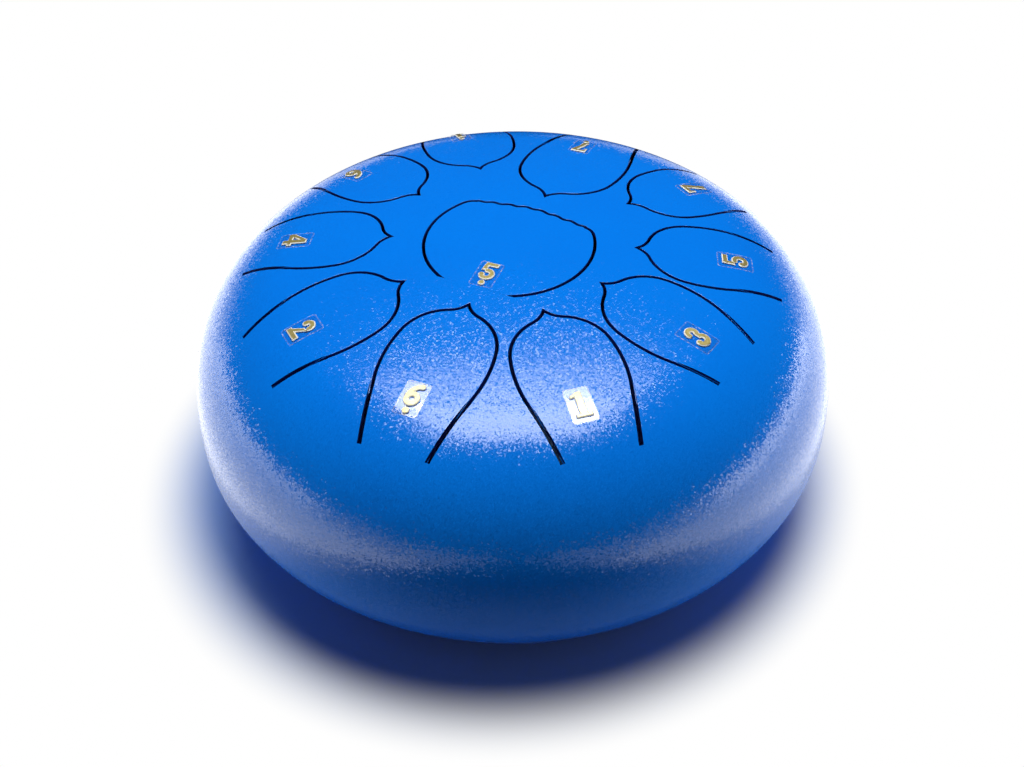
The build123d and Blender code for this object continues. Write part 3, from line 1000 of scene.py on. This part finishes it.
class DRUM_OT_feet(bpy.types.Operator):
    """Spin one rubber foot with its stem and barb, and copy it under the bowl."""

    bl_idname = "drum.feet"
    bl_label = "Feet"

    def execute(self, context):
        finish = context.scene.drum.finish
        low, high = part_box("foot_front")
        radius = (high.x - low.x) / 2
        top = bowl_low.z
        edge, rim = finish.foot_edge_radius, finish.foot_top_radius
        stem = finish.foot_stem_diameter / 2
        tip = high.z
        barb = tip - finish.foot_barb_height
        foot = draw_section(
            "rubber_foot",
            (0, 0),
            [
                (radius - edge, 0),
                ((radius - edge, edge), -pi / 2, 6),
                (radius, top - rim),
                ((radius - rim, top - rim), -pi / 2, 4),
                (stem, top),
                (stem, barb),
                (finish.foot_barb_diameter / 2, barb),
                (finish.foot_barb_tip / 2, tip),
                (0, tip),
            ],
            FOOT_STEPS,
        )
        for side in FEET:
            low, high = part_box(f"foot_{side}")
            twin = copy_piece(foot, f"rubber_foot_{side}")
            twin.location = ((low.x + high.x) / 2, (low.y + high.y) / 2, 0)
            bpy.ops.object.transform_apply(location=True, rotation=False, scale=False)
            bpy.ops.object.shade_smooth_by_angle(angle=ROUND_CREASE)
            dress(twin, [moulded_rubber()], "drum", "foot_rubber", f"foot_{side}")
        bpy.data.objects.remove(foot)
        return {"FINISHED"}


class DRUM_OT_labels(bpy.types.Operator):
    """Finish the clear films with a lifted rim, and the foil numerals with a sloping edge that is painted
    white as a highlight.
    """

    bl_idname = "drum.labels"
    bl_label = "Labels"

    def execute(self, context):
        finish = context.scene.drum.finish
        arcs = skin_arcs()
        for note in NOTES:
            film = joined_copy(f"film_{note}", f"label_film_{note}")
            bpy.ops.mesh.inset(thickness=finish.film_border, depth=0)
            bpy.ops.object.mode_set(mode="OBJECT")
            border = film.data.attributes.new(BORDER, "FLOAT", "POINT")
            for face in film.data.polygons:
                if not face.select and faces_up(arcs, face):
                    for corner in face.vertices:
                        border.data[corner].value = 0.0 if film.data.vertices[corner].select else 1.0
            bpy.ops.object.shade_smooth_by_angle(angle=ROUND_CREASE)
            dress(film, [clear_label_film()], f"tongue_{note}", "label_film", f"film_{note}")
            numeral = joined_copy(f"numeral_{note}", f"gold_numeral_{note}")
            bpy.ops.mesh.inset(thickness=finish.crown_border, depth=finish.crown_height)
            bpy.ops.object.mode_set(mode="OBJECT")
            # The sloping edge and the sides get the white painted highlight, the top keeps the foil
            for face in numeral.data.polygons:
                face.material_index = 0 if face.select else 1
            bpy.ops.object.shade_smooth_by_angle(angle=NUMERAL_CREASE)
            dress(numeral, [stamped_foil(), white_edge_painted_glint()], f"tongue_{note}", "gold_foil", f"numeral_{note}")
        return {"FINISHED"}


# Stage


def ray_kinds(tree):
    """The outputs of a Light Path node, and whether a ray was mirrored or went through something clear."""
    rays = add_node(tree, "ShaderNodeLightPath").outputs
    mirrored = add_node(
        tree,
        "ShaderNodeMath",
        {0: rays["Is Glossy Ray"], 1: rays["Is Transmission Ray"]},
        operation="ADD",
    )
    return rays, mirrored.outputs[0]


def white_paper():
    """White paper: pure white to the camera, but for the shade round the drum. The shade's blue is painted
    into the paper's colour there, and its outline is painted by the white glow.
    """
    stage = bpy.context.scene.drum.stage
    material, tree, output = new_material("white_paper")
    rays, mirrored = ray_kinds(tree)
    place = add_node(tree, "ShaderNodeTexCoord").outputs["Object"]
    oval = add_node(
        tree,
        "ShaderNodeVectorMath",
        {0: place, 1: (1, stage.shade_squeeze, 1), 2: (stage.shade_shift, 0, 0)},
        operation="MULTIPLY_ADD",
    )
    reach = add_node(tree, "ShaderNodeVectorMath", {0: oval.outputs["Vector"]}, operation="LENGTH")
    across = add_node(tree, "ShaderNodeSeparateXYZ", {"Vector": place}).outputs["X"]
    aside = add_node(tree, "ShaderNodeMath", {0: across}, operation="ABSOLUTE")
    sheen = add_node(
        tree,
        "ShaderNodeMapRange",
        {
            "Value": aside.outputs[0],
            "From Min": stage.mirror_start,
            "From Max": stage.mirror_end,
            "To Max": mirrored,
        },
        interpolation_type="SMOOTHSTEP",
    )
    # The white glow fades in over a drawn, shifted oval, so the shade's outline is painted shadow; inside it
    # the paper is lit as it is
    clear = add_node(
        tree,
        "ShaderNodeMapRange",
        {
            "Value": reach.outputs["Value"],
            "From Min": stage.shade_start,
            "From Max": stage.shade_end,
            "To Max": rays["Is Camera Ray"],
        },
        interpolation_type="SMOOTHSTEP",
    )
    white = add_node(
        tree, "ShaderNodeMath", {0: clear.outputs["Result"], 1: sheen.outputs["Result"]}, operation="ADD"
    )
    edge = add_node(
        tree,
        "ShaderNodeMapRange",
        {"Value": reach.outputs["Value"], "From Min": stage.paper_start, "From Max": stage.paper_end},
        interpolation_type="SMOOTHSTEP",
    )
    # Paper near the drum is blue, painting the blue light in its shade; further off it is dark
    shade_tinted_paper = add_node(
        tree,
        "ShaderNodeMix",
        {0: edge.outputs["Result"], MIX_A: (*stage.paper_painted_blue_shade, 1), MIX_B: (*stage.floor_dark, 1)},
        data_type="RGBA",
    )
    paper = add_node(tree, "ShaderNodeBsdfDiffuse", {"Color": shade_tinted_paper.outputs[MIX_RESULT]})
    glow = add_node(tree, "ShaderNodeEmission", {"Color": (1, 1, 1, 1), "Strength": 1.0})
    mix = add_node(
        tree,
        "ShaderNodeMixShader",
        {0: white.outputs[0], 1: paper.outputs["BSDF"], 2: glow.outputs["Emission"]},
    )
    tree.links.new(mix.outputs["Shader"], output.inputs["Surface"])
    return material


def white_backdrop():
    """A world that is white to the camera and, in reflections, pale at the sides under a dark room."""
    world = bpy.data.worlds.new("white_backdrop_in_a_dark_room")
    world.use_nodes = True
    tree = world.node_tree
    tree.nodes.clear()
    output = add_node(tree, "ShaderNodeOutputWorld")
    rays, mirrored = ray_kinds(tree)
    direction = add_node(tree, "ShaderNodeTexCoord").outputs["Generated"]
    parts = add_node(tree, "ShaderNodeSeparateXYZ", {"Vector": direction}).outputs
    aside = add_node(tree, "ShaderNodeMath", {0: parts["X"]}, operation="ABSOLUTE")
    sheen = add_node(
        tree,
        "ShaderNodeMapRange",
        {"Value": aside.outputs[0], "From Min": SIDE_START, "From Max": SIDE_END, "To Max": mirrored},
        interpolation_type="SMOOTHSTEP",
    )
    backdrop = add_node(
        tree,
        "ShaderNodeMapRange",
        {
            "Value": parts["Z"],
            "From Min": 0.0,
            "From Max": ROOM_RISE,
            "To Min": sheen.outputs["Result"],
            "To Max": bpy.context.scene.drum.stage.room_level,
        },
        interpolation_type="SMOOTHSTEP",
    )
    level = add_node(
        tree,
        "ShaderNodeMath",
        {0: rays["Is Camera Ray"], 1: backdrop.outputs["Result"]},
        operation="MAXIMUM",
    )
    sky = add_node(tree, "ShaderNodeBackground", {"Color": (1, 1, 1, 1), "Strength": level.outputs[0]})
    tree.links.new(sky.outputs["Background"], output.inputs["Surface"])
    return world


def add_softbox(name, place, aim, size, watts):
    """A rectangular lamp that faces a point."""
    bpy.ops.object.light_add(type="AREA", location=place)
    lamp = bpy.context.object
    lamp.name = name
    lamp.rotation_euler = (Vector(aim) - Vector(place)).to_track_quat("-Z", "Y").to_euler()
    lamp.data.shape = "RECTANGLE"
    lamp.data.size, lamp.data.size_y = size
    lamp.data.energy = watts
    lamp.visible_camera = False


def add_camera():
    """The camera at the photograph's viewing angle."""
    stage = bpy.context.scene.drum.stage
    height, reach = stage.camera_height, stage.camera_distance
    bpy.ops.object.camera_add(location=(0, -reach * cos(height), stage.target_height + reach * sin(height)))
    camera = bpy.context.object
    camera.rotation_mode = "ZYX"
    camera.rotation_euler = (pi / 2 - height, 0, stage.camera_roll)
    camera.data.sensor_width = SENSOR_WIDTH
    camera.data.lens = SENSOR_WIDTH * stage.focal_pixels / IMAGE_WIDTH
    camera.data.shift_y = -stage.centre_drop / IMAGE_WIDTH
    camera.data.clip_start = NEAREST_VIEW
    return camera


class DRUM_OT_stage(bpy.types.Operator):
    """Set the drum on white paper, with its softboxes, light tables and camera."""

    bl_idname = "drum.stage"
    bl_label = "Stage"

    def execute(self, context):
        stage = context.scene.drum.stage
        bpy.ops.object.select_all(action="DESELECT")
        bpy.ops.mesh.primitive_plane_add(size=FLOOR_SIZE)
        floor = context.object
        floor.name = "paper_sweep"
        floor.data.materials.append(white_paper())
        for name, (place, aim, size, power_name) in SOFTBOXES.items():
            add_softbox(name, place, aim, size, getattr(stage, power_name))
        context.scene.world = white_backdrop()
        context.scene.camera = add_camera()
        context.scene.view_settings.view_transform = "Standard"
        return {"FINISHED"}


class DRUM_PT_panel(bpy.types.Panel):
    """The drum's pieces, in the order in which they are made."""

    bl_idname = "DRUM_PT_panel"
    bl_label = "Steel tongue drum"
    bl_space_type = "VIEW_3D"
    bl_region_type = "UI"
    bl_category = "Drum"

    def draw(self, context):
        for operator in OPERATORS:
            self.layout.operator(operator.bl_idname)


OPERATORS = (
    DRUM_OT_upper_shell,
    DRUM_OT_tongues,
    DRUM_OT_lower_shell,
    DRUM_OT_feet,
    DRUM_OT_labels,
    DRUM_OT_stage,
)
CLASSES = (DrumShells, DrumTongues, DrumFinish, DrumStage, Drum, *OPERATORS, DRUM_PT_panel)


def register():
    for cls in CLASSES:
        bpy.utils.register_class(cls)
    bpy.types.Scene.drum = PointerProperty(type=Drum)


def unregister():
    del bpy.types.Scene.drum
    for cls in reversed(CLASSES):
        bpy.utils.unregister_class(cls)


def main():
    register()
    bpy.ops.drum.upper_shell()
    bpy.ops.drum.tongues()
    bpy.ops.drum.lower_shell()
    bpy.ops.drum.feet()
    bpy.ops.drum.labels()
    bpy.ops.drum.stage()


if __name__ == "__main__":
    main()
